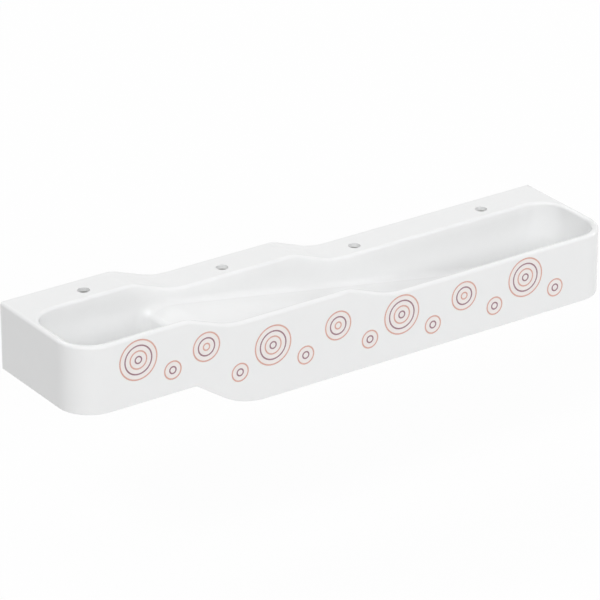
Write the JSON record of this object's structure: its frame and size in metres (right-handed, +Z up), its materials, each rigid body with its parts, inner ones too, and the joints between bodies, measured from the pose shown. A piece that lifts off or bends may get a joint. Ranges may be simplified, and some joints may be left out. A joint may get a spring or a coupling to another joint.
{
  "type": "wash trough",
  "caption": "Long wall-hung wash trough for children in white cast mineral: stepped rim, tap deck, deep upper basin, weir, ramp and lower basin, with drain fittings and a push plug.",
  "frame": {"origin": "middle of the line of wall bolts, on the wall plane", "axes": "+X along the wall to the lower basin, +Y into the wall, +Z up; the front faces -Y"},
  "size_m": [1.8, 0.39, 0.332],
  "materials": {
    "white_cast": "satin white cast mineral composite",
    "raw_cast": "sanded, unpolished cast mineral composite",
    "chrome": "polished chrome on brass",
    "brass": "machined brass",
    "steel": "turned stainless steel",
    "rubber": "matt black rubber",
    "grey_plastic": "moulded grey acetal"
  },
  "bodies": {
    "trough": {"front_apron": "white_cast", "bowl": "white_cast", "tap_deck": "white_cast", "wall_rail": "raw_cast", "deck_gusset_1": "raw_cast", "deck_gusset_2": "raw_cast", "deck_gusset_3": "raw_cast", "deck_gusset_4": "raw_cast", "ramp_rib_1": "raw_cast", "ramp_rib_2": "raw_cast", "pit_waste_body": "chrome", "pit_flange_seal": "rubber", "pit_under_seal": "rubber", "pit_back_nut": "brass", "pit_plug_guide": "grey_plastic", "lower_waste_body": "chrome", "lower_flange_seal": "rubber", "lower_under_seal": "rubber", "lower_back_nut": "brass", "lower_strainer_bridge": "brass", "lower_strainer": "chrome", "lower_strainer_screw": "steel"},
    "plug": {"pit_plug_cap": "chrome", "pit_plug_seal": "rubber", "pit_plug_stem": "steel", "pit_plug_retainer": "brass"}
  },
  "joints": [
    {"name": "plug_lift", "type": "slide", "parent": "trough", "child": "plug", "axis": [0, 0, 1], "range_m": [0, 0.008]}
  ]
}
